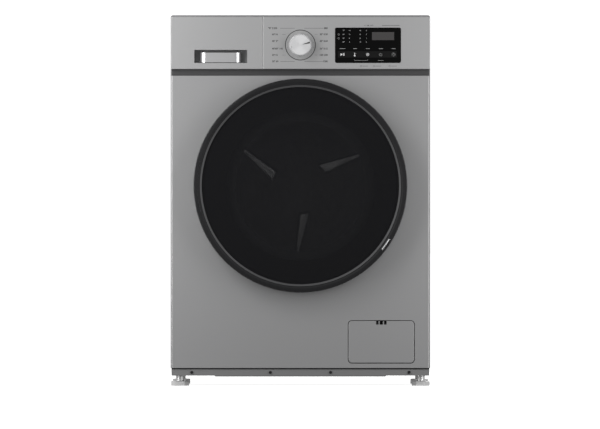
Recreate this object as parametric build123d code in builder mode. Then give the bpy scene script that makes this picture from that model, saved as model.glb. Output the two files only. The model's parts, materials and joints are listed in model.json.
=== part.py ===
"""Front-loading washer dryer, about 595 wide, 850 high and 600 deep over its door and rear fittings.

Millimetres. +Z is up, the front faces -Y, X runs to the viewer's right.
The origin is on the floor, at the middle of the bounding box.
"""

import math
import os

from build123d import *

os.makedirs("parts", exist_ok=True)

# ---------------------------------------------------------------- driving dimensions
WIDTH = 595.0
HEIGHT = 850.0
HALF = WIDTH / 2
SHEET = 1.2  # cabinet sheet metal

Y_DOOR = -300.0  # foremost face of the door
Y_FASCIA = -268.0  # control panel face
Y_PANEL = -265.0  # front panel face
Y_SHELL = -250.0  # front flange of the cabinet sides
Y_BACK = 281.0  # rear flange of the cabinet sides
Y_REAR_MAX = 300.0  # tips of the rear fittings

Z_FLOOR_PAN = 25.0  # underside of the base tray
Z_SHELL = 41.0  # lower edge of the sheet metal
Z_BAND = 711.0  # shadow band between front panel and fascia
Z_FASCIA = 726.0
Z_FASCIA_TOP = 846.5
Z_TOP = 832.0  # underside of the top panel

AXIS_Z = 459.0  # height of the drum and door axis
DRUM_AXIS = Axis((0, 0, AXIS_Z), (0, 1, 0))
DRUM_R = 243.0
DRUM_FRONT, DRUM_BACK = -152.0, 172.0
MOUTH_R = 158.0  # drum and gasket mouth
TUB_R = 260.0
TUB_FRONT, TUB_JOINT, TUB_BACK = -170.0, 10.0, 206.0
TUB_WALL = 4.0

DOOR_R = 245.0
DISH_R = 224.0  # stepped seat around the door opening
HOLE_R = 186.0
HINGE_X, HINGE_Y = -236.0, -284.0
PIN_R = 2.0
RUN = 0.06  # radial running clearance of pins and shafts
HOOK_X, HOOK_Y = 208.0, -279.0

SKIRT_Y = -250.5  # rear edge of the fascia and of the drawer front
DRAWER_X0, DRAWER_X1 = -296.9, -87.0
KNOB_X, KNOB_Z, KNOB_R = 0.0, 781.3, 25.2
DISPLAY_X, DISPLAY_Z, DISPLAY_W, DISPLAY_H = 154.9, 780.7, 151.2, 81.2
FLAP_X, FLAP_Z, FLAP_W, FLAP_H = 185.4, 101.1, 153.5, 99.2
FLAP_AXIS_Y, FLAP_AXIS_Z = -258.0, 65.0
FILTER_X, FILTER_Z = 205.0, 104.0

MOTOR_Z, MOTOR_R = 108.0, 55.0
PULLEY_R, MOTOR_PULLEY_R = 150.0, 12.0
PULLEY_Y0, PULLEY_Y1 = 240.0, 258.0
DAMPER_X, DAMPER_Y = 150.0, 40.0
SPRING_X, SPRING_Y = 262.0, 20.0
FAN_X, FAN_Y = 190.0, 130.0
FOOT_X, FOOT_FRONT_Y, FOOT_REAR_Y = 276.0, -225.0, 252.0
SIDES = (-1, 1)


# ---------------------------------------------------------------- helpers
def front_plane(y):
    """Plane facing the front (-Y) at depth y, with its x along X and its y along Z."""
    return Plane.XZ.offset(-y)


def block(x0, x1, y0, y1, z0, z1, mode=Mode.ADD):
    """Box between two corners, joined to the part being built."""
    with Locations(((x0 + x1) / 2, (y0 + y1) / 2, (z0 + z1) / 2)):
        Box(x1 - x0, y1 - y0, z1 - z0, mode=mode)


def rod_y(x, z, radius, y0, y1, mode=Mode.ADD):
    """Cylinder along Y."""
    with Locations(Location((x, (y0 + y1) / 2, z), (90, 0, 0))):
        Cylinder(radius, y1 - y0, mode=mode)


def rod_z(x, y, radius, z0, z1, mode=Mode.ADD):
    """Cylinder along Z."""
    with Locations((x, y, (z0 + z1) / 2)):
        Cylinder(radius, z1 - z0, mode=mode)


def rod_x(y, z, radius, x0, x1, mode=Mode.ADD):
    """Cylinder along X."""
    with Locations(Location(((x0 + x1) / 2, y, z), (0, 90, 0))):
        Cylinder(radius, x1 - x0, mode=mode)


def turned(points, mode=Mode.ADD):
    """Solid of revolution about the drum axis, from (radius, y) points."""
    with BuildSketch(Plane.XY.offset(AXIS_Z)) as profile:
        with BuildLine():
            Polyline(*points, close=True)
        make_face()
    revolve(profile.sketch, axis=DRUM_AXIS, mode=mode)


def hose(points, outer_r, inner_r, bend_r):
    """Hollow tube along straight runs joined by tangent arcs."""
    with BuildLine() as route:
        FilletPolyline(*points, radius=bend_r)
    with BuildSketch(Plane(origin=route.line @ 0, z_dir=route.line % 0)) as ring:
        Circle(outer_r)
        Circle(inner_r, mode=Mode.SUBTRACT)
    sweep(ring.sketch, path=route.line)


def save(builder, name):
    """Labels a finished piece and writes its STEP file."""
    builder.part.label = name
    export_step(builder.part, f"parts/{name}.step")


# ---------------------------------------------------------------- cabinet
def make_cabinet_shell():
    """Two side sheets with front and rear flanges, tied by a front rail and a rear rail."""
    flange = 22.0
    with BuildPart() as shell:
        for side in SIDES:
            x_out, x_in, x_lip = side * HALF, side * (HALF - SHEET), side * (HALF - flange)
            block(min(x_out, x_lip), max(x_out, x_lip), Y_SHELL, Y_BACK, Z_SHELL, Z_TOP)
            block(
                min(x_in, x_lip), max(x_in, x_lip), Y_SHELL + SHEET, Y_BACK - SHEET,
                Z_SHELL, Z_TOP, Mode.SUBTRACT,
            )
            block(
                min(x_in, side * (SPRING_X - 8)), max(x_in, side * (SPRING_X - 8)),
                SPRING_Y - 15, SPRING_Y + 15, 802, 806,
            )
        block(-HALF + SHEET, HALF - SHEET, Y_SHELL, Y_SHELL + SHEET, 700, 724)
        block(-HALF + SHEET, HALF - SHEET, Y_BACK - SHEET, Y_BACK, 820, Z_TOP)
    save(shell, "cabinet_shell")


def make_front_panel():
    """Pressed front sheet: folded edges, round door seat, service hole, slots for hook and hinge."""
    edge_x, corner_r = HALF - 0.6, 4.0
    y_mid, deep = (Y_PANEL + Y_SHELL) / 2, Y_SHELL - Y_PANEL
    with BuildPart() as panel:
        for z0, z1, hollow in ((Z_SHELL, Z_BAND, True), (Z_SHELL, Z_SHELL + SHEET, False),
                               (Z_BAND - SHEET, Z_BAND, False)):
            with BuildSketch(Plane.XY.offset(z0)):
                with Locations((0, y_mid)):
                    outline = Rectangle(2 * edge_x, deep)
                fillet(outline.vertices().group_by(Axis.Y)[0], radius=corner_r)
                if hollow:
                    with BuildSketch(mode=Mode.SUBTRACT):
                        with Locations((0, y_mid + SHEET)):
                            inside = Rectangle(2 * (edge_x - SHEET), deep)
                        fillet(inside.vertices().group_by(Axis.Y)[0], radius=corner_r - SHEET)
            extrude(amount=z1 - z0)
        fillet(panel.faces().sort_by(Axis.Y)[0].edges().filter_by(Axis.X), radius=0.8)
        rod_y(0, AXIS_Z, DISH_R, Y_PANEL, Y_PANEL + SHEET, Mode.SUBTRACT)
        floor, lip_end = -259.5, -247.0
        turned([
            (DISH_R, Y_PANEL), (DISH_R - 5, floor), (HOLE_R - SHEET, floor),
            (HOLE_R - SHEET, lip_end), (HOLE_R, lip_end), (HOLE_R, floor + SHEET),
            (DISH_R - 4.4, floor + SHEET), (DISH_R + 1, Y_PANEL + SHEET), (DISH_R + 1, Y_PANEL),
        ])
        with BuildSketch(front_plane(Y_PANEL + SHEET)):
            with Locations((FLAP_X, FLAP_Z)):
                RectangleRounded(FLAP_W, FLAP_H, 9.5)
        extrude(amount=SHEET, mode=Mode.SUBTRACT)
        block(HOOK_X - 11, HOOK_X + 11, floor - 1, floor + 3, AXIS_Z - 10, AXIS_Z + 10, Mode.SUBTRACT)
        for side in SIDES:
            z_mid = AXIS_Z + side * 47
            block(
                HINGE_X - 3, HINGE_X + 7, Y_PANEL - 1, Y_PANEL + 3,
                z_mid - 6, z_mid + 6, Mode.SUBTRACT,
            )
    save(panel, "front_panel")


def make_top_panel():
    """Worktop, with a thin lip that covers the fascia's top edge."""
    lip_z, y_step = 847.0, -244.0
    with BuildPart() as top:
        block(-HALF, HALF, Y_FASCIA, Y_BACK, Z_TOP, HEIGHT)
        block(-HALF, HALF, Y_FASCIA, y_step, Z_TOP, lip_z, Mode.SUBTRACT)
        crown = top.faces().sort_by(Axis.Z)[-1]
        fillet(crown.edges().filter_by(Axis.Y), radius=6)
        fillet(top.faces().sort_by(Axis.Y)[0].edges().group_by(Axis.Z)[-1], radius=1.2)
        block(-285, 285, -235, 272, Z_TOP, 838, Mode.SUBTRACT)
    save(top, "top_panel")


def make_rear_panel():
    """Flat rear sheet with its service hole and the holes for the rear fittings."""
    with BuildPart() as rear:
        block(-290, 290, Y_BACK, Y_BACK + SHEET, 45, 828)
        rod_y(0, AXIS_Z, 165, Y_BACK, Y_BACK + SHEET, Mode.SUBTRACT)
        for x, z, radius in REAR_HOLES:
            rod_y(x, z, radius, Y_BACK, Y_BACK + SHEET, Mode.SUBTRACT)
    save(rear, "rear_panel")


VALVE_X, VALVE_Z, INLET_R = -150.0, 785.0, 13.2
TRANSIT = [(sx * 170.0, AXIS_Z + sz * 160.0) for sx in SIDES for sz in SIDES]
DRAIN_X, DRAIN_OUT_Z, DRAIN_R = 230.0, 220.0, 10.0
GLAND_X, GLAND_Z = 215.0, 770.0
REAR_HOLES = (
    [(VALVE_X + s * 22, VALVE_Z, INLET_R + 0.8) for s in SIDES]
    + [(x, z, 12.0) for x, z in TRANSIT]
    + [(DRAIN_X, DRAIN_OUT_Z, DRAIN_R + 0.8), (GLAND_X, GLAND_Z, 9.0)]
)


def make_rear_access_cover():
    """Dished round cover over the pulley."""
    with BuildPart() as cover:
        turned([
            (0, 288.8), (150, 288.8), (156, 283.4), (178, 283.4), (178, 282.2),
            (155, 282.2), (149, 287.6), (0, 287.6),
        ])
    save(cover, "rear_access_cover")


def make_base_tray():
    """Moulded floor tray with four threaded foot bosses."""
    edge_x, wall = 295.5, 3.0
    with BuildPart() as tray:
        block(-edge_x, edge_x, -249, Y_BACK, Z_FLOOR_PAN, Z_SHELL)
        block(
            -edge_x + wall, edge_x - wall, -249 + wall, Y_BACK - wall,
            Z_FLOOR_PAN + wall, Z_SHELL, Mode.SUBTRACT,
        )
        for x, y in FEET.values():
            rod_z(x, y, 14, Z_FLOOR_PAN, 44)
            rod_z(x, y, STUD_R + RUN, Z_FLOOR_PAN, 44, Mode.SUBTRACT)
    save(tray, "base_tray")


STUD_R = 5.0
FEET = {
    "foot_front_left": (-FOOT_X, FOOT_FRONT_Y),
    "foot_front_right": (FOOT_X, FOOT_FRONT_Y),
    "foot_rear_left": (-FOOT_X, FOOT_REAR_Y),
    "foot_rear_right": (FOOT_X, FOOT_REAR_Y),
}


def make_feet():
    """Hexagonal levelling feet, each with a stem and a threaded stud."""
    for name, (x, y) in FEET.items():
        with BuildPart() as foot:
            with BuildSketch():
                with Locations((x, y)):
                    RegularPolygon(radius=20.7, side_count=6)
            extrude(amount=12)
            chamfer(foot.faces().sort_by(Axis.Z)[-1].edges(), length=1.6)
            chamfer(foot.faces().sort_by(Axis.Z)[0].edges(), length=0.6)
            rod_z(x, y, 9.6, 12, 24.6)
            rod_z(x, y, STUD_R, 24.6, 43)
        save(foot, name)


KICK_SCREWS = (-249.0, -69.0, 69.0, 249.0)
KICK_SCREW_Z = 31.2


def make_kick_plate():
    """Plinth strip below the front panel; its middle part hangs a little lower."""
    with BuildPart() as kick:
        block(-295.5, 295.5, -262, -249.3, 23.5, 38.8)
        chamfer(kick.faces().sort_by(Axis.Y)[0].edges().group_by(Axis.Z)[-1], length=1.2)
        block(-294, 294, -260.5, -249.3, 25, 37.3, Mode.SUBTRACT)
        block(-196, 196, -261.5, -252, 21.3, 23.5)
        for x in KICK_SCREWS:
            rod_y(x, KICK_SCREW_Z, 2.0, -262, -260.5, Mode.SUBTRACT)
    save(kick, "kick_plate")


def make_cabinet_screws():
    """Pan-head screws of the plinth and of the rear access cover."""
    with BuildPart() as screws:
        for x in KICK_SCREWS:
            rod_y(x, KICK_SCREW_Z, 3.4, -264.2, -262)
            rod_y(x, KICK_SCREW_Z, 1.9, -262, -254)
        for step in range(6):
            angle = math.radians(30 + 60 * step)
            rod_y(170 * math.cos(angle), AXIS_Z + 170 * math.sin(angle), 4, 283.4, 286)
    save(screws, "cabinet_screws")


def make_trim_strip():
    """Dark recessed strip between front panel and fascia."""
    with BuildPart() as strip:
        block(-295, 295, -258, Y_SHELL, Z_BAND + 0.3, Z_FASCIA - 0.3)
    save(strip, "trim_strip")


# ---------------------------------------------------------------- control panel and drawer


def make_fascia():
    """Right-hand control panel, with a ring groove round the knob and a window for the glass."""
    x0, x1, skin, y_back = -86.4, HALF - 0.6, 2.5, SKIRT_Y
    z0 = Z_FASCIA + 0.2
    with BuildPart() as fascia:
        block(x0, x1, Y_FASCIA, y_back, z0, Z_FASCIA_TOP)
        fillet(fascia.edges().filter_by(Axis.Y).sort_by(lambda e: e.center().X + e.center().Z)[-1], radius=6)
        fillet(fascia.faces().sort_by(Axis.Y)[0].edges(), radius=1.2)
        block(x0 + skin, x1 - skin, Y_FASCIA + skin, y_back, z0 + skin, Z_FASCIA_TOP - skin, Mode.SUBTRACT)
        rod_y(KNOB_X, KNOB_Z, 34.9, Y_FASCIA, Y_FASCIA + 1.0, Mode.SUBTRACT)
        rod_y(KNOB_X, KNOB_Z, 33.7, Y_FASCIA, Y_FASCIA + 1.2)
        rod_y(KNOB_X, KNOB_Z, 3.6, Y_FASCIA, y_back, Mode.SUBTRACT)
        with BuildSketch(front_plane(Y_FASCIA + skin)):
            with Locations((DISPLAY_X, DISPLAY_Z)):
                RectangleRounded(DISPLAY_W, DISPLAY_H, 4.1)
        extrude(amount=skin, mode=Mode.SUBTRACT)
    save(fascia, "fascia")


def make_display_glass():
    """Black touch glass: the window part and a wider flange behind the fascia."""
    with BuildPart() as glass:
        with BuildSketch(front_plane(-265.5)):
            with Locations((DISPLAY_X, DISPLAY_Z)):
                RectangleRounded(DISPLAY_W - 0.4, DISPLAY_H - 0.4, 3.9)
        extrude(amount=2.9)
        block(
            DISPLAY_X - 79, DISPLAY_X + 79, -265.5, -263.6, DISPLAY_Z - 44, DISPLAY_Z + 44,
        )
    save(glass, "display_glass")


def make_control_board():
    """Circuit board with the knob's encoder, the display module and the touch spacer."""
    with BuildPart() as board:
        block(-60, 262, -247.5, -246, 738, 834)
        block(-14, 14, -264, -247.5, KNOB_Z - 14, KNOB_Z + 14)
        rod_y(KNOB_X, KNOB_Z, 3.0 + RUN, -264, -246, Mode.SUBTRACT)
        block(162, 217, -263.4, -247.5, 790, 814)
        block(85, 225, -263.4, -247.5, 744, 768)
        block(-50, -25, -247.5, -238, 745, 790)
    save(board, "control_board")


def make_selector_knob():
    """Programme knob with a tapered pointer notch, an index dimple and its shaft."""
    y_face, y_base = -286.0, -268.4
    pointer = math.radians(14.5)
    with BuildPart() as knob:
        rod_y(KNOB_X, KNOB_Z, KNOB_R, y_face, y_base)
        rim = knob.faces().sort_by(Axis.Y)[0].edges()
        chamfer(rim, length=9.0, length2=2.6)
        with BuildSketch(front_plane(y_face + 2.2)):
            with BuildLine():
                Polyline(*[
                    (KNOB_X + r * math.cos(pointer) - w * math.sin(pointer),
                     KNOB_Z + r * math.sin(pointer) + w * math.cos(pointer))
                    for r, w in ((4.5, -0.2), (4.5, 0.2), (26, 1.7), (26, -1.7))
                ], close=True)
            make_face()
        extrude(amount=3, mode=Mode.SUBTRACT)
        rod_y(KNOB_X, KNOB_Z, 3.0, y_base, -248)
    save(knob, "selector_knob")


HANDLE_X = -183.4
POCKET = (-243.0, -122.0, -248.5, 740.2, 770.2)


def make_drawer_front():
    """Left part of the control panel: the detergent drawer's front with its grip pocket."""
    skin, y_back = 2.5, SKIRT_Y
    z0 = Z_FASCIA + 0.2
    x0, x1, y_pocket, zp0, zp1 = POCKET
    with BuildPart() as front:
        block(DRAWER_X0, DRAWER_X1, Y_FASCIA, y_back, z0, Z_FASCIA_TOP)
        fillet(front.edges().filter_by(Axis.Y).sort_by(lambda e: e.center().Z - e.center().X)[-1], radius=6)
        fillet(front.faces().sort_by(Axis.Y)[0].edges(), radius=1.2)
        block(
            DRAWER_X0 + skin, DRAWER_X1 - skin, Y_FASCIA + skin, y_back,
            z0 + skin, Z_FASCIA_TOP - skin, Mode.SUBTRACT,
        )
        block(x0 - skin, x1 + skin, Y_FASCIA + skin, y_pocket + skin, zp0 - skin, zp1 + skin)
        block(x0, x1, Y_FASCIA, y_pocket, zp0, zp1, Mode.SUBTRACT)
    save(front, "drawer_front")


def make_drawer_handle():
    """Bow-shaped grip bar whose ends curve back into the pocket."""
    wide, deep, thick, y_front = 94.2, 38.0, 2.4, -266.8
    with BuildPart() as handle:
        with BuildSketch(Plane.XY.offset(741.6)):
            with Locations((HANDLE_X, y_front + deep / 2)):
                RectangleRounded(wide, deep, 14)
                RectangleRounded(wide - 2 * thick, deep - 2 * thick, 14 - thick, mode=Mode.SUBTRACT)
            with Locations((HANDLE_X, POCKET[2] + 20)):
                Rectangle(120, 40, mode=Mode.SUBTRACT)
        extrude(amount=22.2)
    save(handle, "drawer_handle")


def make_drawer_tray():
    """Sliding tray with three compartments."""
    with BuildPart() as tray:
        block(-274, -105, -246, -30, 742, 812)
        for x0, x1 in ((-272, -221), (-219, -166), (-164, -107)):
            block(x0, x1, -243, -32, 744, 812, Mode.SUBTRACT)
    save(tray, "drawer_tray")


SPOUT_X, SPOUT_Y = -194.0, -60.0


def make_dispenser_housing():
    """Fixed box that the detergent drawer slides in, with its outlet spout."""
    with BuildPart() as housing:
        block(-280, -99, -240, -20, 737, 825)
        rod_z(SPOUT_X, SPOUT_Y, 16, 690, 737)
        block(-278, -101, -240, -22, 739, 823, Mode.SUBTRACT)
        rod_z(SPOUT_X, SPOUT_Y, 13.5, 690, 739, Mode.SUBTRACT)
    save(housing, "dispenser_housing")


def make_dispenser_hose():
    """Corrugated rubber sleeve from the dispenser to the tub."""
    with BuildPart() as sleeve:
        rod_z(SPOUT_X, SPOUT_Y, 18.4, 656, 706)
        for z in (666, 674, 682):
            rod_z(SPOUT_X, SPOUT_Y, 21, z - 2, z + 2)
        rod_z(SPOUT_X, SPOUT_Y, 16.3, 656, 706, Mode.SUBTRACT)
    save(sleeve, "dispenser_hose")


def make_inlet_valve():
    """Double inlet valve: body, two threaded stubs out of the rear, two coils and the feed hose."""
    with BuildPart() as valve:
        block(VALVE_X - 38, VALVE_X + 38, 252, Y_BACK, VALVE_Z - 17, VALVE_Z + 17)
        for side in SIDES:
            x = VALVE_X + side * 22
            rod_y(x, VALVE_Z, INLET_R - 0.8, Y_BACK, 283.6)
            rod_y(x, VALVE_Z, INLET_R, 283.6, Y_REAR_MAX)
            rod_y(x, VALVE_Z, 8.5, 268, Y_REAR_MAX, Mode.SUBTRACT)
            rod_z(x, 262, 9, VALVE_Z + 17, VALVE_Z + 36)
        hose(
            [(VALVE_X, 252, VALVE_Z), (VALVE_X, 190, VALVE_Z), (VALVE_X - 14, 90, VALVE_Z + 12),
             (VALVE_X - 14, -19.9, VALVE_Z + 12)],
            7.0, 4.8, 40,
        )
    save(valve, "inlet_valve")


# ---------------------------------------------------------------- tub group
def tub_bore(y0, y1):
    """Clears the inside of a tub half."""
    rod_y(0, AXIS_Z, TUB_R - TUB_WALL, y0, y1, Mode.SUBTRACT)


def make_tub_front():
    """Front half of the tub, with its mouth collar, dispenser inlet and warm-air inlet."""
    inner = TUB_R - TUB_WALL
    with BuildPart() as tub:
        turned([
            (172, -190), (172, TUB_FRONT), (252, TUB_FRONT), (TUB_R, -162), (TUB_R, 2),
            (268, 2), (268, TUB_JOINT), (inner, TUB_JOINT), (inner, -160), (250, -166),
            (168, -166), (168, -190),
        ])
        rod_z(SPOUT_X, SPOUT_Y, 16, 600, 662)
        block(160, 220, -150, -110, 560, 688)
        tub_bore(-162, TUB_JOINT)
        rod_z(SPOUT_X, SPOUT_Y, 13, 590, 662, Mode.SUBTRACT)
        block(163, 217, -147, -113, 540, 688, Mode.SUBTRACT)
    save(tub, "tub_front")


def make_tub_rear():
    """Rear half of the tub, with bearing hub, heater trough, spring lugs and damper lugs."""
    inner = TUB_R - TUB_WALL
    with BuildPart() as tub:
        turned([
            (inner, TUB_JOINT), (268, TUB_JOINT), (268, 18), (TUB_R, 18), (TUB_R, 200),
            (254, TUB_BACK), (46, TUB_BACK), (46, 232), (26, 232), (26, 216), (28, 216),
            (28, 204), (31, 204), (31, 186), (48, 186), (48, 201), (250, 201), (inner, 196),
        ])
        block(-70, 70, 18, TUB_BACK, 172, 225)
        for side in SIDES:
            block(
                min(side * 195, side * 272), max(side * 195, side * 272),
                TUB_JOINT, 26, 606, 616,
            )
            block(
                side * DAMPER_X - 12, side * DAMPER_X + 12, DAMPER_Y - 10, DAMPER_Y + 10, 236, 262,
            )
        tub_bore(TUB_JOINT, 195)
        block(-66, 66, 22, 201, 176, 240, Mode.SUBTRACT)
        rod_y(0, AXIS_Z, 31, 186, 204, Mode.SUBTRACT)
        for side in SIDES:
            rod_y(side * HEATER_X, HEATER_Z, 4.3, 195, TUB_BACK, Mode.SUBTRACT)
        rod_z(SUMP_X, SUMP_Y, 17, 158, 172)
        rod_z(SUMP_X, SUMP_Y, 14, 158, 176, Mode.SUBTRACT)
    save(tub, "tub_rear")


HEATER_X, HEATER_Z = 30.0, 190.0
SUMP_X, SUMP_Y = 45.0, 42.0


def make_heater():
    """Tubular water heater in the trough, on its rear flange with two terminals."""
    with BuildPart() as heater:
        with BuildLine() as loop:
            FilletPolyline(
                (-HEATER_X, 222, HEATER_Z), (-HEATER_X, 60, HEATER_Z),
                (HEATER_X, 60, HEATER_Z), (HEATER_X, 222, HEATER_Z), radius=25,
            )
        with BuildSketch(Plane(origin=loop.line @ 0, z_dir=loop.line % 0)):
            Circle(4)
        sweep(path=loop.line)
        block(-42, 42, TUB_BACK, 210, 178, 202)
    save(heater, "heater")


def make_front_counterweight():
    """Cast ring weight on the tub's front wall, open at the top."""
    with BuildPart() as weight:
        turned([(177, -203), (246, -203), (250, -199), (250, TUB_FRONT), (177, TUB_FRONT)])
        block(-80, 80, -204, -169, AXIS_Z + 100, AXIS_Z + 260, Mode.SUBTRACT)
    save(weight, "front_counterweight")


def make_motor():
    """Drive motor below the tub, hung from the heater trough by its bracket."""
    with BuildPart() as motor:
        rod_y(0, MOTOR_Z, MOTOR_R, 80, 200)
        rod_y(0, MOTOR_Z, 40, 68, 218)
        block(-34, 34, 90, 190, MOTOR_Z + 40, 172)
        rod_y(0, MOTOR_Z, 6 + RUN, 180, 218, Mode.SUBTRACT)
    save(motor, "motor")


def make_motor_pulley():
    """Ribbed pinion on the motor's shaft."""
    with BuildPart() as pulley:
        rod_y(0, MOTOR_Z, 6, 182, 236)
        rod_y(0, MOTOR_Z, MOTOR_PULLEY_R, 236, 262)
        for step in range(5):
            y = 243 + 2.8 * step
            rod_y(0, MOTOR_Z, MOTOR_PULLEY_R + 0.2, y, y + 1.2)
    save(pulley, "motor_pulley")


def make_drive_belt():
    """Flat ribbed belt around both pulleys."""
    gap, thick = 0.5, 3.6
    with BuildPart() as belt:
        with BuildSketch(front_plane(PULLEY_Y1 - 2)):
            with Locations((0, AXIS_Z)):
                Circle(PULLEY_R + gap + thick)
            with Locations((0, MOTOR_Z)):
                Circle(MOTOR_PULLEY_R + gap + thick)
            make_hull()
        extrude(amount=14)
        with BuildSketch(front_plane(PULLEY_Y1 - 2)):
            with Locations((0, AXIS_Z)):
                Circle(PULLEY_R + gap)
            with Locations((0, MOTOR_Z)):
                Circle(MOTOR_PULLEY_R + gap)
            make_hull()
        extrude(amount=14, mode=Mode.SUBTRACT)
    save(belt, "drive_belt")


def make_drum_bearings():
    """Two ball bearings in the tub's hub, shown as rings."""
    with BuildPart() as bearings:
        rod_y(0, AXIS_Z, 31, 187, 203)
        rod_y(0, AXIS_Z, 15, 187, 203, Mode.SUBTRACT)
        rod_y(0, AXIS_Z, 26, 216.2, 231.2)
        rod_y(0, AXIS_Z, 12.5, 216.2, 231.2, Mode.SUBTRACT)
    save(bearings, "drum_bearings")


def make_damper_cylinders():
    """Friction damper barrels standing on the base tray."""
    with BuildPart() as barrels:
        for side in SIDES:
            x = side * DAMPER_X
            rod_z(x, DAMPER_Y, 15, 28, 170)
            rod_z(x, DAMPER_Y, 12.2, 36, 165, Mode.SUBTRACT)
            rod_z(x, DAMPER_Y, 5.1, 165, 170, Mode.SUBTRACT)
    save(barrels, "damper_cylinders")


def make_damper_rods():
    """Damper rods and pistons, hung from the tub's lugs."""
    with BuildPart() as rods:
        for side in SIDES:
            rod_z(side * DAMPER_X, DAMPER_Y, 5, 90, 236)
            rod_z(side * DAMPER_X, DAMPER_Y, 12.1, 90, 100)
    save(rods, "damper_rods")


def make_suspension_springs():
    """Two coil springs with end cups that carry the tub."""
    coil_r, wire_r, pitch, low, high = 9.0, 1.7, 8.0, 628.0, 790.0
    with BuildPart() as springs:
        for side in SIDES:
            place = (side * SPRING_X, SPRING_Y, low)
            coil = Helix(pitch=pitch, height=high - low, radius=coil_r, center=place, mode=Mode.PRIVATE)
            with BuildSketch(Plane(origin=coil @ 0, z_dir=coil % 0)):
                Circle(wire_r)
            sweep(path=Wire([coil]), is_frenet=True)
            rod_z(side * SPRING_X, SPRING_Y, coil_r + 3, low - 4, low + 2)
            rod_z(side * SPRING_X, SPRING_Y, coil_r + 3, high - 2, high + 4)
            rod_z(side * SPRING_X, SPRING_Y, 3, 616.2, low - 4)
            rod_z(side * SPRING_X, SPRING_Y, 3, high + 4, 801.8)
    save(springs, "suspension_springs")


def make_drying_duct():
    """Warm-air channel on the tub: blower scroll, heater channel, outlet to the tub, and fan motor."""
    with BuildPart() as duct:
        rod_z(FAN_X, FAN_Y, 72, 712, 790)
        block(150, 230, -160, FAN_Y, 718, 778)
        block(156, 224, -154, -106, 689, 720)
        rod_z(FAN_X, FAN_Y, 69, 715, 787, Mode.SUBTRACT)
        block(153, 227, -157, FAN_Y, 721, 775, Mode.SUBTRACT)
        block(159, 221, -151, -109, 689, 722, Mode.SUBTRACT)
        rod_z(FAN_X, FAN_Y, 30, 790, 822)
        rod_z(FAN_X, FAN_Y, 4 + RUN, 787, 806, Mode.SUBTRACT)
    save(duct, "drying_duct")


def make_fan_impeller():
    """Radial blower wheel with 18 blades on its shaft."""
    with BuildPart() as wheel:
        rod_z(FAN_X, FAN_Y, 60, 772, 775)
        rod_z(FAN_X, FAN_Y, 14, 730, 775)
        rod_z(FAN_X, FAN_Y, 4, 775, 805)
        with Locations((FAN_X, FAN_Y, 751)):
            with PolarLocations(49, 18):
                Box(20, 1.6, 44, rotation=(0, 0, 25))
    save(wheel, "fan_impeller")


# ---------------------------------------------------------------- drum group
def make_drum_shell():
    """Steel drum: rolled front mouth, wall, and a back with three pressed vanes."""
    wall = 1.5
    inner = DRUM_R - wall
    with BuildPart() as drum:
        turned([
            (MOUTH_R, DRUM_FRONT), (DRUM_R - 4, DRUM_FRONT), (DRUM_R, DRUM_FRONT + 4),
            (DRUM_R, DRUM_BACK), (0, DRUM_BACK), (0, DRUM_BACK - wall), (inner, DRUM_BACK - wall),
            (inner, DRUM_FRONT + 4.6), (DRUM_R - 4.6, DRUM_FRONT + wall),
            (MOUTH_R + wall, DRUM_FRONT + wall), (MOUTH_R + wall, DRUM_FRONT + 8),
            (MOUTH_R, DRUM_FRONT + 8),
        ])
        for step in range(3):
            turn = math.radians(VANE_ANGLE + 120 * step)
            with BuildSketch(front_plane(DRUM_BACK - wall)):
                with BuildLine():
                    Polyline(*[
                        (r * math.cos(turn + lean) - w * math.sin(turn + lean),
                         AXIS_Z + r * math.sin(turn + lean) + w * math.cos(turn + lean))
                        for r, w, lean in VANE_OUTLINE
                    ], close=True)
                make_face()
            extrude(amount=VANE_HEIGHT, taper=25)
    save(drum, "drum_shell")


VANE_ANGLE = 27.0
VANE_HEIGHT = 14.0
VANE_OUTLINE = ((60, -16, 0.2), (60, 16, 0.2), (172, 5, 0.0), (172, -5, 0.0))


def make_drum_lifters():
    """Three hollow-look paddles along the drum wall."""
    crest_r, foot_r, half_base, half_crest = 184.0, 240.5, 34.0, 12.0
    with BuildPart() as lifters:
        for step in range(3):
            turn = VANE_ANGLE + 120 * step
            frame = Plane(
                origin=(0, 158, AXIS_Z),
                x_dir=(math.cos(math.radians(turn)), 0, math.sin(math.radians(turn))),
                z_dir=(0, -1, 0),
            )
            foot_x = math.sqrt(foot_r**2 - half_base**2)
            with BuildSketch(frame):
                with BuildLine():
                    Polyline(
                        (foot_x, -half_base), (crest_r + 10, -half_crest), (crest_r, 0),
                        (crest_r + 10, half_crest), (foot_x, half_base), close=True,
                    )
                make_face()
            extrude(amount=296)
    save(lifters, "drum_lifters")


def make_drum_spider():
    """Three-armed cast spider behind the drum."""
    with BuildPart() as spider:
        rod_y(0, AXIS_Z, 30, DRUM_BACK, 185)
        for step in range(3):
            turn = math.radians(VANE_ANGLE + 120 * step)
            frame = Plane(
                origin=(0, DRUM_BACK + 11, AXIS_Z),
                x_dir=(math.cos(turn), 0, math.sin(turn)),
                z_dir=(0, -1, 0),
            )
            with BuildSketch(frame):
                with BuildLine():
                    Polyline((0, -20), (234, -11), (234, 11), (0, 20), close=True)
                make_face()
            extrude(amount=11)
        rod_y(0, AXIS_Z, 14.95, 175, 185, Mode.SUBTRACT)
    save(spider, "drum_spider")


def make_drum_shaft():
    """Stepped drum shaft with the pulley's bolt head."""
    with BuildPart() as shaft:
        rod_y(0, AXIS_Z, 14.95, 175, 214)
        rod_y(0, AXIS_Z, 12.45, 214, PULLEY_Y1)
        rod_y(0, AXIS_Z, 16, PULLEY_Y1, PULLEY_Y1 + 3)
        with BuildSketch(front_plane(PULLEY_Y1 + 11)):
            with Locations((0, AXIS_Z)):
                RegularPolygon(radius=10, side_count=6)
        extrude(amount=8)
    save(shaft, "drum_shaft")


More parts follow.
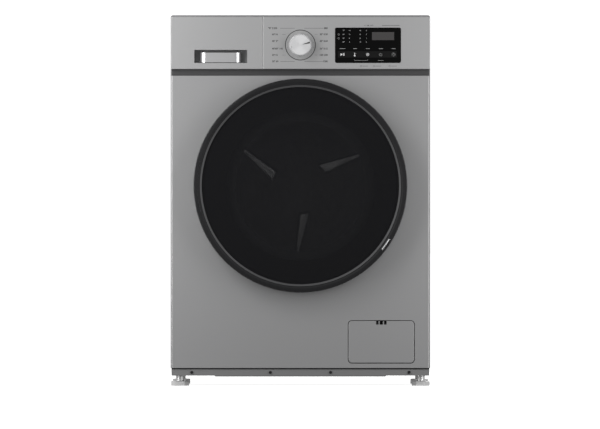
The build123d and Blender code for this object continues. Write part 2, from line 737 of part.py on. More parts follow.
def make_drum_pulley():
    """Cast drive pulley: hub, six spokes and a rim."""
    with BuildPart() as pulley:
        rod_y(0, AXIS_Z, PULLEY_R, PULLEY_Y0, PULLEY_Y1)
        rod_y(0, AXIS_Z, PULLEY_R - 7, PULLEY_Y0, PULLEY_Y1, Mode.SUBTRACT)
        rod_y(0, AXIS_Z, 24, PULLEY_Y0, PULLEY_Y1)
        for step in range(3):
            turn = math.radians(60 * step)
            frame = Plane(
                origin=(0, PULLEY_Y1 - 3, AXIS_Z),
                x_dir=(math.cos(turn), 0, math.sin(turn)),
                z_dir=(0, -1, 0),
            )
            with BuildSketch(frame):
                Rectangle(2 * PULLEY_R - 10, 20)
            extrude(amount=10)
        rod_y(0, AXIS_Z, 12.45, PULLEY_Y0, PULLEY_Y1, Mode.SUBTRACT)
    save(pulley, "drum_pulley")


# ---------------------------------------------------------------- door
def hinge_relief():
    """Clears the door's left rim for the hinge barrel and lugs."""
    block(-248, -228, -290.5, -260, AXIS_Z - 60, AXIS_Z + 60, Mode.SUBTRACT)


def grip_relief():
    """Finger pocket behind the lower right rim, open to the outside and to the rear."""
    frame = Location((0, 0, AXIS_Z), (0, GRIP_TURN, 0))
    with Locations(frame):
        with Locations(((GRIP_R0 + 252) / 2, (GRIP_Y0 - 258) / 2, 0)):
            Box(252 - GRIP_R0, -258 - GRIP_Y0, 84, mode=Mode.SUBTRACT)


GRIP_TURN, GRIP_R0, GRIP_Y0 = 35.0, 226.0, -284.0


def make_door_bezel():
    """Outer door ring: rounded rim with an inner shelf for trim ring and glass."""
    with BuildPart() as bezel:
        turned([
            (DOOR_R, -268), (DOOR_R, -292), (243.6, -296.4), (240.6, -299.2), (236.2, Y_DOOR),
            (236.2, -289), (222, -289), (222, -286), (239.5, -286), (239.5, -268),
        ])
        hinge_relief()
        grip_relief()
    save(bezel, "door_bezel")


def make_door_ring():
    """Conical satin trim ring between rim and glass."""
    with BuildPart() as ring:
        turned([(236.0, -299.0), (225.6, -295.0), (225.6, -289.2), (236.0, -289.2)])
        block(-246, -228, -290.8, -280, AXIS_Z - 60, AXIS_Z + 60, Mode.SUBTRACT)
    save(ring, "door_ring")


def make_door_glass():
    """Slightly domed tinted outer glass."""
    with BuildPart() as glass:
        turned([
            (0, -298.4), (60, -298.1), (115, -297.3), (165, -296.1), (205, -294.9), (225.2, -294.2),
            (225.2, -289.2), (221, -289.2), (220, -290.6), (165, -292.1), (115, -293.3), (60, -294.1),
            (0, -294.4),
        ])
    save(glass, "door_glass")


def make_door_bowl():
    """Clear glass bowl that reaches into the gasket's mouth."""
    with BuildPart() as bowl:
        with BuildSketch(Plane.XY.offset(AXIS_Z)):
            with BuildLine():
                Polyline((185, -278), (185, -275.2), (150, -275.2), (147, -245), (138, -200))
                ThreePointArc((138, -200), (130, -182), (112, -174))
                Polyline((112, -174), (0, -171), (0, -176), (110, -179))
                ThreePointArc((110, -179), (125, -186), (133, -201))
                Polyline((133, -201), (142, -246), (145, -278), (185, -278))
            make_face()
        revolve(axis=DRUM_AXIS)
    save(bowl, "door_bowl")


def make_door_inner_frame():
    """Rear frame of the door, holding the bowl, with slots for hook and hinge."""
    with BuildPart() as frame:
        turned([
            (151, -275), (151, -262.4), (214, -262.4), (220, -268), (239.2, -268), (239.2, -275),
        ])
        block(HOOK_X - 9, HOOK_X + 11, -276, -261, AXIS_Z - 9, AXIS_Z + 9, Mode.SUBTRACT)
        hinge_relief()
        grip_relief()
    save(frame, "door_inner_frame")


def make_door_hinge_arm():
    """Hinge barrel and wing on the door's inner frame, and the posts of the hook's pivot."""
    with BuildPart() as arm:
        rod_z(HINGE_X, HINGE_Y, 4.6, AXIS_Z - 41, AXIS_Z + 41)
        block(HINGE_X, -196, -284, -281, AXIS_Z - 41, AXIS_Z + 41)
        block(-216, -196, -281, -275, AXIS_Z - 41, AXIS_Z + 41)
        rod_z(HINGE_X, HINGE_Y, PIN_R, AXIS_Z - 41, AXIS_Z + 41, Mode.SUBTRACT)
    save(arm, "door_hinge_arm")


def make_hinge_pin():
    """Steel pin through barrel and lugs."""
    with BuildPart() as pin:
        rod_z(HINGE_X, HINGE_Y, PIN_R, AXIS_Z - 54, AXIS_Z + 54)
    save(pin, "hinge_pin")


def make_hinge_bracket():
    """Cabinet half of the hinge: a plate behind the front panel and two lugs through it."""
    with BuildPart() as bracket:
        block(-262, -227, Y_PANEL + SHEET, -260.8, AXIS_Z - 75, AXIS_Z + 75)
        for side in SIDES:
            z0 = AXIS_Z + min(side * 42, side * 52)
            rod_z(HINGE_X, HINGE_Y, 4.6, z0, z0 + 10)
            block(HINGE_X, HINGE_X + 4.6, HINGE_Y, -261, z0, z0 + 10)
            rod_z(HINGE_X, HINGE_Y, PIN_R + RUN, z0, z0 + 10, Mode.SUBTRACT)
    save(bracket, "hinge_bracket")


def make_door_hook():
    """Latch hook, sprung on its own pivot in the door."""
    with BuildPart() as hook:
        rod_z(HOOK_X, HOOK_Y, 4.2, AXIS_Z - 6.5, AXIS_Z + 6.5)
        block(HOOK_X - 2.5, HOOK_X + 2.5, HOOK_Y, -244, AXIS_Z - 6.5, AXIS_Z + 6.5)
        with BuildSketch(Plane.XY.offset(AXIS_Z - 6.5)):
            with BuildLine():
                Polyline(
                    (HOOK_X + 2.5, -254), (HOOK_X + 8, -252.5), (HOOK_X - 2.5, -243),
                    (HOOK_X - 2.5, -246), close=True,
                )
            make_face()
        extrude(amount=13)
    save(hook, "door_hook")


def make_door_lock():
    """Interlock body behind the panel, hollow where the hook enters."""
    with BuildPart() as lock:
        block(194, 236, -258.3, -232, AXIS_Z - 34, AXIS_Z + 34)
        block(196.5, 219.5, -258.3, -237, AXIS_Z - 10, AXIS_Z + 10, Mode.SUBTRACT)
    save(lock, "door_lock")


def make_door_gasket():
    """Rubber bellows from the front panel's lip to the tub's collar."""
    with BuildPart() as gasket:
        with BuildSketch(Plane.XY.offset(AXIS_Z)) as section:
            with BuildLine() as fold:
                FilletPolyline(
                    (183, -248), (183, -258.4), (167, -258.4), (159.6, -243), (164, -224),
                    (179, -219), (179, -209.5), (174, -203), (174, -182), radius=2.6,
                )
            trace(fold.line, line_width=3)
        revolve(axis=DRUM_AXIS)
    save(gasket, "door_gasket")


# ---------------------------------------------------------------- pump corner
def make_filter_surround():
    """Recess behind the service flap, with the flap's pivot holes."""
    with BuildPart() as surround:
        block(104, 267, Y_PANEL + SHEET, -225, 46, 156)
        block(106, 265, Y_PANEL + SHEET, -227, 48, 154, Mode.SUBTRACT)
        rod_y(FILTER_X, FILTER_Z, 33, -227, -225, Mode.SUBTRACT)
        rod_x(FLAP_AXIS_Y, FLAP_AXIS_Z, 2.0 + RUN, 104, 267, Mode.SUBTRACT)
    save(surround, "filter_surround")


def make_filter_flap():
    """Service flap with a latch notch in its top edge and two pivot ears."""
    wide, tall, thick = FLAP_W - 3.0, FLAP_H - 3.0, 2.5
    x0, x1 = FLAP_X - wide / 2, FLAP_X + wide / 2
    with BuildPart() as flap:
        with BuildSketch(front_plane(Y_PANEL + thick)):
            with Locations((FLAP_X, FLAP_Z)):
                RectangleRounded(wide, tall, 8.0)
        extrude(amount=thick)
        fillet(flap.faces().sort_by(Axis.Y)[0].edges(), radius=1.2)
        top = FLAP_Z + tall / 2
        block(FLAP_X - 12, FLAP_X + 12, Y_PANEL, Y_PANEL + thick, top - 8.5, top + 1, Mode.SUBTRACT)
        for side in SIDES:
            block(
                FLAP_X + side * 5 - 1.3, FLAP_X + side * 5 + 1.3, Y_PANEL + 1.4,
                Y_PANEL + thick, top - 9, top - 0.4,
            )
        for edge, inward in ((x0, 1), (x1, -1)):
            low, high = min(edge, edge + 3 * inward), max(edge, edge + 3 * inward)
            block(low, high, Y_PANEL + thick, FLAP_AXIS_Y + 3.5, 60, 72)
        rod_x(FLAP_AXIS_Y, FLAP_AXIS_Z, 2.0, 104.4, x0 + 1)
        rod_x(FLAP_AXIS_Y, FLAP_AXIS_Z, 2.0, x1 - 1, 266.6)
    save(flap, "filter_flap")


def make_pump_filter():
    """Lint filter: grip cap and slotted basket."""
    with BuildPart() as lint:
        rod_y(FILTER_X, FILTER_Z, 31, -236, -229)
        block(FILTER_X - 27, FILTER_X + 27, -244, -236, FILTER_Z - 5, FILTER_Z + 5)
        rod_y(FILTER_X, FILTER_Z, 27.5, -229, -150)
        rod_y(FILTER_X, FILTER_Z, 24, -214, -150, Mode.SUBTRACT)
        for step in range(4):
            block(
                FILTER_X - 40, FILTER_X + 40, -205 + 13 * step, -199 + 13 * step,
                FILTER_Z - 16, FILTER_Z + 16, Mode.SUBTRACT,
            )
    save(lint, "pump_filter")


def make_drain_pump():
    """Pump: filter barrel, motor can, inlet and outlet spigots."""
    with BuildPart() as pump:
        rod_y(FILTER_X, FILTER_Z, 36, -224.6, -120)
        rod_y(FILTER_X, FILTER_Z, 28, -120, -60)
        rod_x(-135, FILTER_Z, 17, 150, FILTER_X - 20)
        rod_z(FILTER_X, -140, 13, FILTER_Z + 20, 158)
        rod_y(FILTER_X, FILTER_Z, 28, -224.6, -124, Mode.SUBTRACT)
        rod_x(-135, FILTER_Z, 14, 150, FILTER_X - 20, Mode.SUBTRACT)
        rod_z(FILTER_X, -140, 10, FILTER_Z + 20, 158, Mode.SUBTRACT)
        block(FILTER_X - 30, FILTER_X + 30, -200, -130, 28, FILTER_Z - 30)
        rod_y(FILTER_X, FILTER_Z, 28, -224.6, -124, Mode.SUBTRACT)
    save(pump, "drain_pump")


def make_sump_hose():
    """Rubber hose from the tub's sump to the pump."""
    with BuildPart() as sump:
        hose(
            [(SUMP_X, SUMP_Y, 158), (SUMP_X, SUMP_Y, FILTER_Z), (SUMP_X, -135, FILTER_Z),
             (150, -135, FILTER_Z)],
            18, 14.5, 32,
        )
    save(sump, "sump_hose")


def make_drain_hose():
    """Inner drain hose from the pump to the rear outlet spigot."""
    with BuildPart() as drain:
        hose(
            [(FILTER_X, -140, 158), (FILTER_X, -140, 200), (262, -60, 214), (262, 120, 236),
             (DRAIN_X, 200, DRAIN_OUT_Z), (DRAIN_X, 262, DRAIN_OUT_Z)],
            11.5, 8.5, 18,
        )
        rod_y(DRAIN_X, DRAIN_OUT_Z, DRAIN_R - 0.8, 262, 284)
        rod_y(DRAIN_X, DRAIN_OUT_Z, DRAIN_R, 284, 298)
        rod_y(DRAIN_X, DRAIN_OUT_Z, 7, 262, 298, Mode.SUBTRACT)
    save(drain, "drain_hose")


def make_cord_gland():
    """Gland for the mains lead in the rear panel."""
    with BuildPart() as gland:
        rod_y(GLAND_X, GLAND_Z, 13, Y_BACK + SHEET, 290)
        rod_y(GLAND_X, GLAND_Z, 8.6, 272, 290)
        rod_y(GLAND_X, GLAND_Z, 4.2, 272, 290, Mode.SUBTRACT)
    save(gland, "cord_gland")


def make_transit_caps():
    """Plugs in the four transit bolt holes."""
    with BuildPart() as caps:
        for x, z in TRANSIT:
            rod_y(x, z, 17, Y_BACK + SHEET, 285.5)
            rod_y(x, z, 11.7, 271, Y_BACK + SHEET)
    save(caps, "transit_caps")


MAKERS = (
    make_cabinet_shell, make_front_panel, make_top_panel, make_rear_panel, make_rear_access_cover,
    make_base_tray, make_feet, make_kick_plate, make_cabinet_screws, make_trim_strip,
    make_fascia, make_display_glass, make_control_board, make_selector_knob,
    make_drawer_front, make_drawer_handle, make_drawer_tray, make_dispenser_housing,
    make_dispenser_hose, make_inlet_valve,
    make_tub_front, make_tub_rear, make_heater, make_front_counterweight, make_motor,
    make_motor_pulley, make_drive_belt, make_drum_bearings, make_damper_cylinders,
    make_damper_rods, make_suspension_springs, make_drying_duct, make_fan_impeller,
    make_drum_shell, make_drum_lifters, make_drum_spider, make_drum_shaft, make_drum_pulley,
    make_door_bezel, make_door_ring, make_door_glass, make_door_bowl, make_door_inner_frame,
    make_door_hinge_arm, make_hinge_pin, make_hinge_bracket, make_door_hook, make_door_lock,
    make_door_gasket, make_filter_surround, make_filter_flap, make_pump_filter,
    make_drain_pump, make_sump_hose, make_drain_hose, make_cord_gland, make_transit_caps,
)

for maker in MAKERS:
    maker()
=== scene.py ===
"""Silver front-loading washer dryer: finishes, printing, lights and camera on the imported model."""

import json
import math

import bpy
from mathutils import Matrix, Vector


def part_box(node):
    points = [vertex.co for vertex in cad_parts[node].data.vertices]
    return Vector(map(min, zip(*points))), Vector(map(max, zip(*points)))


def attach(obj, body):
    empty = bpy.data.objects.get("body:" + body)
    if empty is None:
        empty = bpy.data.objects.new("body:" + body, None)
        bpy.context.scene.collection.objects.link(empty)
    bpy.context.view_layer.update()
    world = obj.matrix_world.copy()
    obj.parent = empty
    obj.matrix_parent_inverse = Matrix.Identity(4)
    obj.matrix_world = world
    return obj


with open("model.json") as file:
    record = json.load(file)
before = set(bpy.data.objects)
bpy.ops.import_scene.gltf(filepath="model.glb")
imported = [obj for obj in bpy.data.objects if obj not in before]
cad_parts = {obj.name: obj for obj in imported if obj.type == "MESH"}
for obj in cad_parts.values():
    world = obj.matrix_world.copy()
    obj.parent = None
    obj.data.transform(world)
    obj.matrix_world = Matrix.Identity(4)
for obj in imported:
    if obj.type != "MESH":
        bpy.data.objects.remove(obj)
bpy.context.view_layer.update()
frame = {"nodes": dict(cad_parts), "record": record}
NODES, RECORD = frame["nodes"], frame["record"]
AXIS_Z = 459.0  # door and drum axis, in mm like all the layout numbers below
MM = 0.001

# ---------------------------------------------------------------- materials


def material(name, color, rough, metal=0.0, **sockets):
    """Principled material with plain socket values."""
    made = bpy.data.materials.new(name)
    made.use_nodes = True
    shader = made.node_tree.nodes["Principled BSDF"]
    shader.inputs["Base Color"].default_value = (*color, 1)
    shader.inputs["Roughness"].default_value = rough
    shader.inputs["Metallic"].default_value = metal
    for socket, value in sockets.items():
        shader.inputs[socket.replace("_", " ")].default_value = value
    return made


def grain(made, scale, strength, stretch=(1, 1, 1), colour=None):
    """Adds fine bump from stretched noise, and optionally a slight colour change."""
    tree = made.node_tree
    shader = tree.nodes["Principled BSDF"]
    where = tree.nodes.new("ShaderNodeTexCoord")
    squeeze = tree.nodes.new("ShaderNodeMapping")
    squeeze.inputs["Scale"].default_value = stretch
    noise = tree.nodes.new("ShaderNodeTexNoise")
    noise.inputs["Scale"].default_value = scale
    noise.inputs["Detail"].default_value = 3
    bump = tree.nodes.new("ShaderNodeBump")
    bump.inputs["Strength"].default_value = strength
    bump.inputs["Distance"].default_value = 0.0003
    tree.links.new(where.outputs["Object"], squeeze.inputs["Vector"])
    tree.links.new(squeeze.outputs["Vector"], noise.inputs["Vector"])
    tree.links.new(noise.outputs["Fac"], bump.inputs["Height"])
    tree.links.new(bump.outputs["Normal"], shader.inputs["Normal"])
    if colour:
        ramp = tree.nodes.new("ShaderNodeValToRGB")
        ramp.color_ramp.elements[0].position, ramp.color_ramp.elements[1].position = 0.35, 0.65
        ramp.color_ramp.elements[0].color = (*colour[0], 1)
        ramp.color_ramp.elements[1].color = (*colour[1], 1)
        tree.links.new(noise.outputs["Fac"], ramp.inputs["Fac"])
        tree.links.new(ramp.outputs["Color"], shader.inputs["Base Color"])
    return made


def glass(name, color, alpha, rough=0.02, spec=0.5):
    """Thin see-through glass by alpha."""
    made = material(name, color, rough, Alpha=alpha, Specular_IOR_Level=spec)
    made.surface_render_method = "BLENDED"
    return made


PAINT = (0.295, 0.295, 0.298)
SLOTS = {
    "silver_paint": grain(material("silver_paint", PAINT, 0.42, 0.45), 900, 0.06),
    # plinth_paint: the kick plate is painted darker than the front panel as painted shade for its
    # set-back place under the panel
    "plinth_paint": material("plinth_paint", (0.2, 0.2, 0.202), 0.45, 0.45),
    "screw_dark": material("screw_dark", (0.02, 0.02, 0.02), 0.4, 0.6),
    "foot_metal": material("foot_metal", (0.82, 0.82, 0.82), 0.35, 0.5),
    "fascia_silver": grain(material("fascia_silver", (0.355, 0.355, 0.358), 0.38, 0.45), 900, 0.05),
    "dark_trim": material("dark_trim", (0.035, 0.035, 0.036), 0.5),
    "bezel_dark": material("bezel_dark", (0.012, 0.012, 0.013), 0.22, 0.3),
    "ring_satin": material("ring_satin", (0.014, 0.014, 0.015), 0.25, 0.3),
    "panel_black": material("panel_black", (0.002, 0.002, 0.002), 0.06, Specular_IOR_Level=0.12),
    "tinted_glass": glass("tinted_glass", (0.005, 0.005, 0.006), 0.62, 0.03, 0.3),
    "clear_glass": glass("clear_glass", (0.5, 0.52, 0.52), 0.10, 0.03, 0.5),
    "chrome": material("chrome", (0.8, 0.8, 0.81), 0.36, 1.0),
    "knob_metal": material("knob_metal", (0.8, 0.8, 0.81), 0.25, 0.6, Anisotropic=0.85),
    "stainless": grain(material("stainless", (0.58, 0.58, 0.59), 0.28, 1.0), 60, 0.25, (1, 30, 1)),
    "steel": material("steel", (0.36, 0.36, 0.37), 0.35, 1.0),
    "zinc": grain(material("zinc", (0.4, 0.41, 0.42), 0.45, 0.8), 25, 0.05, (1, 1, 1),
                  ((0.38, 0.39, 0.4), (0.42, 0.43, 0.44))),
    "cast_iron": grain(material("cast_iron", (0.04, 0.04, 0.04), 0.8), 400, 0.6),
    "cast_alloy": grain(material("cast_alloy", (0.42, 0.42, 0.42), 0.5, 0.9), 300, 0.3),
    "rubber_grey": material("rubber_grey", (0.05, 0.05, 0.052), 0.65),
    "rubber_black": material("rubber_black", (0.012, 0.012, 0.012), 0.7),
    "plastic_white": material("plastic_white", (0.62, 0.62, 0.6), 0.4),
    "plastic_grey": material("plastic_grey", (0.33, 0.33, 0.33), 0.45),
    "plastic_black": grain(material("plastic_black", (0.02, 0.02, 0.02), 0.55), 500, 0.2),
    "plastic_blue": material("plastic_blue", (0.03, 0.08, 0.3), 0.45),
    "circuit_green": material("circuit_green", (0.01, 0.07, 0.02), 0.4),
    "copper_can": material("copper_can", (0.1, 0.1, 0.11), 0.45, 0.6),
}
tangent = SLOTS["knob_metal"].node_tree.nodes.new("ShaderNodeTangent")
tangent.direction_type, tangent.axis = "RADIAL", "Y"
SLOTS["knob_metal"].node_tree.links.new(
    tangent.outputs["Tangent"],
    SLOTS["knob_metal"].node_tree.nodes["Principled BSDF"].inputs["Tangent"],
)
for part in RECORD["subparts"]:
    mesh = NODES[part["node"]].data
    mesh.materials.clear()
    mesh.materials.append(SLOTS[part["material_slot"]])

# dark ink for dial and knob print, also used as painted shade in the knob groove
INK_AND_SHADE = material("ink_and_painted_shade", (0.03, 0.03, 0.03), 0.5)
INK_PALE = material("ink_pale", (0.6, 0.6, 0.6), 0.5)
INK_DIM = material("ink_dim", (0.2, 0.2, 0.2), 0.5)
WINDOW = material("display_window", (0.045, 0.043, 0.043), 0.12, Specular_IOR_Level=0.2)
# near-black discs at the drum's perforations: painted shade seen through the holes
HOLE_SHADE = material("hole_painted_shade", (0.01, 0.01, 0.01), 0.9)


# ---------------------------------------------------------------- flat printing
def bar(x, z, wide, tall):
    """Rectangle centred on (x, z)."""
    a, b = wide / 2, tall / 2
    return [[(x - a, z - b), (x + a, z - b), (x + a, z + b), (x - a, z + b)]]


def arc(x, z, radius, line, start=0, end=360, steps=40):
    """Ring, or part of one, as short quads; angles in degrees from +X."""
    turns = [math.radians(start + (end - start) * i / steps) for i in range(steps + 1)]
    spots = [[(x + r * math.cos(t), z + r * math.sin(t)) for t in turns]
             for r in (radius - line / 2, radius + line / 2)]
    return [[spots[0][i], spots[1][i], spots[1][i + 1], spots[0][i + 1]] for i in range(steps)]


def disc(x, z, radius, steps=24):
    """Filled circle."""
    return [[(x + radius * math.cos(2 * math.pi * i / steps),
              z + radius * math.sin(2 * math.pi * i / steps)) for i in range(steps)]]


def text(words, x, z, size, align="LEFT"):
    """Numerals as flat faces; z is the middle of the line."""
    curve = bpy.data.curves.new("words", "FONT")
    curve.body, curve.size, curve.align_x, curve.align_y = words, size, align, "CENTER"
    curve.offset = size * 0.03
    holder = bpy.data.objects.new("words", curve)
    flat = bpy.data.meshes.new_from_object(holder)
    found = [[(x + flat.vertices[v].co.x, z + flat.vertices[v].co.y) for v in face.vertices]
             for face in flat.polygons]
    bpy.data.objects.remove(holder)
    bpy.data.curves.remove(curve)
    bpy.data.meshes.remove(flat)
    return found


def new_piece(name, points, faces, body, finish, smooth=False):
    """Mesh object from points in mm, riding on a body."""
    mesh = bpy.data.meshes.new(name)
    mesh.from_pydata([tuple(c * MM for c in p) for p in points], [], faces)
    mesh.materials.append(finish)
    if smooth:
        mesh.shade_smooth()
    made = bpy.data.objects.new(name, mesh)
    bpy.context.scene.collection.objects.link(made)
    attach(made, body)
    return made


def flat_piece(name, shapes, y, body, finish):
    """Flat shapes facing the front at depth y, for print and for painted shade and highlights."""
    points, faces = [], []
    for shape in shapes:
        faces.append(tuple(range(len(points), len(points) + len(shape))))
        points += [(x, y, z) for x, z in shape]
    return new_piece(name, points, faces, body, finish)


def annulus(name, rings, body, finish, steps=128):
    """Ring surface about the door axis through (radius, y) circles."""
    spots, quads = [], []
    for i in range(steps):
        t = 2 * math.pi * i / steps
        spots += [(r * math.cos(t), y, AXIS_Z + r * math.sin(t)) for r, y in rings]
        n, m = len(rings), (i + 1) % steps
        quads += [(n * i + j, n * i + j + 1, n * m + j + 1, n * m + j) for j in range(n - 1)]
    return new_piece(name, spots, quads, body, finish, smooth=True)


# ---------------------------------------------------------------- dial and fascia print, and painted shade in the knob groove
FASCIA_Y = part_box("fascia")[0][1] / MM
PRINT_LIFT, GROOVE_SHADE_LIFT = 0.06, 0.03  # how far print and the painted groove shade stand in front of their surface
KNOB_X, KNOB_Z = 0.0, 781.3
DOTS, DOT_CIRCLE = 16, 30.2
LABEL_SIZE, RIGHT_EDGE = 5.4, 62.5
ROWS = (819.7, 805.6, 790.2, 772.8, 758.3, 743.7)
LEFT = (("90° 2:205", -74), ("60°16", -65), ("40° 59", -65), ("40°60° 145", -65), ("30°10", -65),
        ("20° 60", -65))
RIGHT = ("800", "30° 0:30", "40° 0:60", "20° 0:15", "120 3:00", "1200")
LEADER_REACH = 34
dial = []
for z, (words, x), words_right in zip(ROWS, LEFT, RIGHT):
    dial += text(words, x, z, LABEL_SIZE) + text(words_right, RIGHT_EDGE, z, LABEL_SIZE, "RIGHT")
for z in (ROWS[0], ROWS[5]):
    dial += bar(-29.5, z, 33, 0.6) + bar(31, z, 44, 0.6)
for z in (ROWS[1], ROWS[4]):
    dial += bar(-LEADER_REACH - 4, z, 8, 0.4) + bar(LEADER_REACH + 2, z, 6, 0.4)
for k in range(DOTS):
    a = math.radians(11.25 + 22.5 * k)
    dial += disc(KNOB_X + DOT_CIRCLE * math.cos(a), KNOB_Z + DOT_CIRCLE * math.sin(a), 0.55, 8)
dial += text("16   1400   15:90", 146, 826, 3.0) + bar(207, 826, 40, 0.9)
for x in (145.7, 175.5, 211.5):
    dial += arc(x - 7, 733, 1.7, 0.5, steps=16) + bar(x + 3, 733, 13, 0.7)
flat_piece("dial_print", dial, FASCIA_Y - PRINT_LIFT, "cabinet", INK_AND_SHADE)
# dark ring at the knob dish groove: painted shade for the gap around the dial insert
ring = arc(KNOB_X, KNOB_Z, 34.3, 1.9, steps=96)
flat_piece("dial_groove_shade", ring, FASCIA_Y - GROOVE_SHADE_LIFT, "cabinet", INK_AND_SHADE)

KNOB_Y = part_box("selector_knob")[0][1] / MM
POINTER_SLOPE, MARK_ANGLE = math.radians(14.5), math.radians(193)
along, across = math.cos(POINTER_SLOPE), math.sin(POINTER_SLOPE)
wedge = [(KNOB_X + r * along - w * across, KNOB_Z + r * across + w * along)
         for r, w in ((5.5, 0.4), (5.5, -0.4), (22.3, -2.1), (22.3, 2.1))]
mark = disc(KNOB_X + 20.5 * math.cos(MARK_ANGLE), KNOB_Z + 20.5 * math.sin(MARK_ANGLE), 0.9, 10)
pointer = [wedge[::-1]] + mark
flat_piece("knob_pointer", pointer, KNOB_Y - PRINT_LIFT, "knob", INK_AND_SHADE)

# ---------------------------------------------------------------- touch display
GLASS_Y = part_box("display_glass")[0][1] / MM
STRIP_LIFT, WINDOW_LIFT, ICON_LIFT = 0.04, 0.05, 0.08
window = bar(189.4, 801.7, 50.7, 18.3)
flat_piece("display_window", window, GLASS_Y - WINDOW_LIFT, "cabinet", WINDOW)
leds, dim = [], []
KEY_ROWS = ((814.5, ("90°", "14", "60", "3")), (805.6, ("60°", "12", "45", "2")),
            (796.7, ("40°", "8", "30", "1")), (788.0, ("20°", "4", "15", "0")))
for z, row in KEY_ROWS:
    for x, words in zip((99, 112.5, 137.2, 151.2), row):
        dim += text(words, x, z, 3.4, "CENTER")
for z in (805.6, 796.7):
    dim += arc(87.7, z, 1.9, 0.5, steps=16)
for x in (96.5, 125.1, 154.6, 184.4, 213.5):
    dim += bar(x, 773, 13 if x < 100 else 9, 1.1)
z = 759.5  # height of the touch keys' symbols
leds += [[(92.0, z - 3.2), (96.3, z), (92.0, z + 3.2)]] + bar(98.0, z, 1.0, 6) + bar(100.2, z, 1.0, 6)
leds += bar(124.4, z + 1.2, 1.3, 6.0) + disc(124.4, z - 2.6, 1.7) + bar(127, z + 2, 1.6, 0.5)
leds += arc(154.2, z, 2.8, 0.8) + disc(154.2, z, 1.0, 12)
dim += arc(184, z - 0.4, 3.0, 0.7, 120, 420) + bar(184, z + 2.2, 0.7, 2.8)
dim += arc(213.5, z, 3.8, 0.5) + arc(213.5, z, 1.6, 0.5) + bar(213.5, z + 2.4, 0.5, 2.0)
dim += bar(139.2, 745.9, 30.4, 0.6) + bar(124.2, 747.2, 0.5, 2.8) + bar(154.2, 747.2, 0.5, 2.8)
dim += bar(184, 745.7, 13, 0.7)
flat_piece("display_icons", leds, GLASS_Y - ICON_LIFT, "cabinet", INK_PALE)
flat_piece("display_print", dim, GLASS_Y - ICON_LIFT, "cabinet", INK_DIM)
strip = bar(153.5, 759.8, 135, 14.4)
STRIP = material("touch_strip", (0.006, 0.006, 0.006), 0.1, Specular_IOR_Level=0.2)
flat_piece("touch_strip", strip, GLASS_Y - STRIP_LIFT, "cabinet", STRIP)

# ---------------------------------------------------------------- drawer pocket painted shade: dark sheet lining the handle pocket
POCKET_X, POCKET_Y, POCKET_Z = (-242.9, -122.1), (-267.6, -248.7), (740.3, 770.1)
POCKET_SHADE = material("pocket_painted_shade", (0.2, 0.2, 0.203), 0.45, 0.3)
corners = ((0, 0), (1, 0), (1, 1), (0, 1))
shade_sheet = [(POCKET_X[i], y, POCKET_Z[k]) for y in POCKET_Y for i, k in corners]
sides = [(4, 5, 6, 7)] + [(i, (i + 1) % 4, 4 + (i + 1) % 4, 4 + i) for i in range(4)]
new_piece("pocket_shade_sheet", shade_sheet, sides, "drawer", POCKET_SHADE)

# ---------------------------------------------------------------- door and drum details
GRIP_START, GRIP_SWEEP, GRIP_STEPS = -31, 7, 12  # degrees, degrees, pieces
GRIP_PROFILE = ((235.6, -300.05), (236.9, -300.35), (238.2, -299.7))
swept = []
for i in range(GRIP_STEPS + 1):
    a = math.radians(GRIP_START - GRIP_SWEEP * i / GRIP_STEPS)
    swept += [(r * math.cos(a), y, AXIS_Z + r * math.sin(a)) for r, y in GRIP_PROFILE]
faces = [(3 * i + j, 3 * i + 3 + j, 3 * i + 4 + j, 3 * i + 1 + j)
         for i in range(GRIP_STEPS) for j in range(2)]
new_piece("grip_accent", swept, faces, "door", SLOTS["chrome"], smooth=True)

RIM = material("glass_rim", (0.07, 0.07, 0.072), 0.35, 0.5)
annulus("glass_rim", ((226.0, -296.3), (230.4, -297.9)), "door", RIM)
BORDER = material("glass_border", (0.018, 0.018, 0.018), 0.5)
annulus("glass_border", ((172, -288.9), (221.8, -288.9)), "door", BORDER)
# near-white paint on the drum vanes' tops is a painted highlight, brighter than their metal would
# show in the dim drum
VANE_HIGHLIGHT = material("vane_painted_highlight", (0.75, 0.75, 0.75), 0.4, 0.3)
VANE_ANGLE, VANE_PITCH, VANE_Y = 27, 120, 156.2
VANE_OUTLINE = ((66, 9.5, 0.2), (66, -9.5, 0.2), (166, -1.5, 0), (166, 1.5, 0))  # radius, side, lean
vanes = []
for k in range(3):
    a = math.radians(VANE_ANGLE + VANE_PITCH * k)
    outline = [(r * math.cos(a + lean) - w * math.sin(a + lean),
                AXIS_Z + r * math.sin(a + lean) + w * math.cos(a + lean))
               for r, w, lean in VANE_OUTLINE]
    vanes.append(outline[::-1])
flat_piece("drum_vane_highlights", vanes, VANE_Y, "drum", VANE_HIGHLIGHT)

# perforations drawn as flat near-black discs, painted shade for the dark seen through the holes
HOLE_R, HOLE_SIDES = 1.9, 8
WALL_R, WALL_ROWS, WALL_FIRST, WALL_LAST, WALL_STEP = 241.35, 84, -132, 160, 15
REAR_Y, REAR_FIRST, REAR_STEP, REAR_RINGS = 170.35, 30, 24, 9
LIFTER_GAP, REAR_VANE_ANGLE = 9.5, 33  # degrees


def off_vane(turn, middle):
    """Degrees between a turn in radians and the nearest of three vanes."""
    half = VANE_PITCH / 2
    return abs((math.degrees(turn) - middle + half) % VANE_PITCH - half)


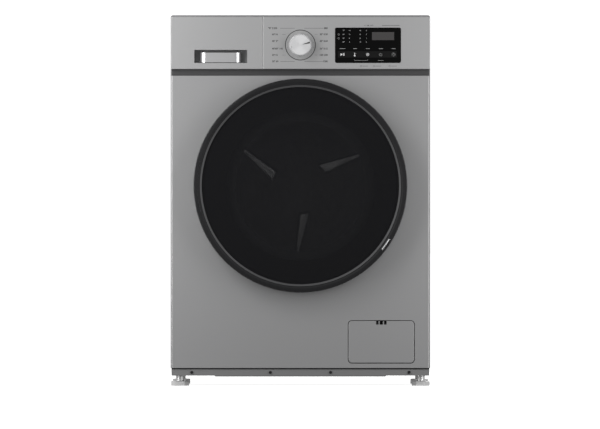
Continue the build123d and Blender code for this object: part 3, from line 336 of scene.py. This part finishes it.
holes, faces = [], []
for row in range(WALL_ROWS):
    turn = 2 * math.pi * row / WALL_ROWS
    if off_vane(turn, VANE_ANGLE) < LIFTER_GAP:
        continue
    for i in range(20):
        y = WALL_FIRST + WALL_STEP * i + (WALL_STEP / 2 if row % 2 else 0)
        if y > WALL_LAST:
            continue
        faces.append(tuple(range(len(holes), len(holes) + HOLE_SIDES)))
        for k in range(HOLE_SIDES):
            b = -math.pi / 4 * k
            t = turn + HOLE_R * math.cos(b) / 241
            holes.append((WALL_R * math.cos(t), y + HOLE_R * math.sin(b),
                          AXIS_Z + WALL_R * math.sin(t)))
for ring_index in range(REAR_RINGS):
    r = REAR_FIRST + REAR_STEP * ring_index
    count = int(2 * math.pi * r / REAR_STEP)
    for i in range(count):
        t = 2 * math.pi * i / count
        if off_vane(t, REAR_VANE_ANGLE) < 7 + 700 / r:
            continue
        faces.append(tuple(range(len(holes), len(holes) + HOLE_SIDES)))
        for k in range(HOLE_SIDES):
            b = math.pi / 4 * k
            holes.append((r * math.cos(t) + HOLE_R * math.cos(b), REAR_Y,
                          AXIS_Z + r * math.sin(t) + HOLE_R * math.sin(b)))
new_piece("drum_hole_shades", holes, faces, "drum", HOLE_SHADE)

# ---------------------------------------------------------------- floor, light and camera
bpy.ops.mesh.primitive_plane_add(size=240)
floor = bpy.context.object
floor.name = "floor"
floor.data.materials.append(material("floor", (0.9, 0.9, 0.9), 0.9, Specular_IOR_Level=0.0,
                                     Emission_Color=(1, 1, 1, 1), Emission_Strength=0.9))
floor.visible_diffuse = floor.visible_glossy = False

world = bpy.data.worlds.new("studio")
bpy.context.scene.world = world
world.use_nodes = True
tree = world.node_tree
soft = tree.nodes["Background"]
soft.inputs["Color"].default_value = (1, 1, 1, 1)
soft.inputs["Strength"].default_value = 0.3
white = tree.nodes.new("ShaderNodeBackground")
white.inputs["Color"].default_value = (1, 1, 1, 1)
white.inputs["Strength"].default_value = 1.1
seen = tree.nodes.new("ShaderNodeLightPath")
pick = tree.nodes.new("ShaderNodeMixShader")
tree.links.new(seen.outputs["Is Camera Ray"], pick.inputs[0])
tree.links.new(soft.outputs[0], pick.inputs[1])
tree.links.new(white.outputs[0], pick.inputs[2])
tree.links.new(pick.outputs[0], tree.nodes["World Output"].inputs["Surface"])


def softbox(name, place, target, size, power):
    """Rectangular area light aimed at a point, in metres."""
    data = bpy.data.lights.new(name, "AREA")
    data.shape, data.size, data.size_y, data.energy = "RECTANGLE", size[0], size[1], power
    lamp = bpy.data.objects.new(name, data)
    lamp.location = place
    aim = [t - p for t, p in zip(target, place)]
    lamp.rotation_euler = (
        math.acos(-aim[2] / math.dist(target, place)), 0, math.atan2(aim[1], aim[0]) - math.pi / 2)
    bpy.context.scene.collection.objects.link(lamp)
    return lamp


softbox("strip_left", (-0.85, -0.85, 0.75), (-0.28, -0.27, 0.55), (0.35, 1.5), 13)
softbox("strip_right", (0.85, -0.85, 0.65), (0.28, -0.27, 0.5), (0.35, 1.5), 10)
softbox("top_left", (-0.9, -1.0, 1.5), (-0.2, -0.27, 0.8), (0.5, 0.5), 6)
softbox("drum_lamp", (0, -0.13, 0.52), (0, 0.17, 0.459), (0.2, 0.1), 0.26).visible_glossy = False
softbox("rear", (0.6, 2.2, 1.6), (0, 0.28, 0.5), (1.5, 1.5), 30)

camera = bpy.data.objects.new("camera", bpy.data.cameras.new("camera"))
camera.location = (-0.0009, -36.268, 0.393)
camera.rotation_euler = (math.pi / 2, 0, 0)
camera.data.lens, camera.data.clip_end = 942.8, 400
bpy.context.scene.collection.objects.link(camera)
bpy.context.scene.camera = camera
bpy.context.scene.view_settings.view_transform = "Standard"
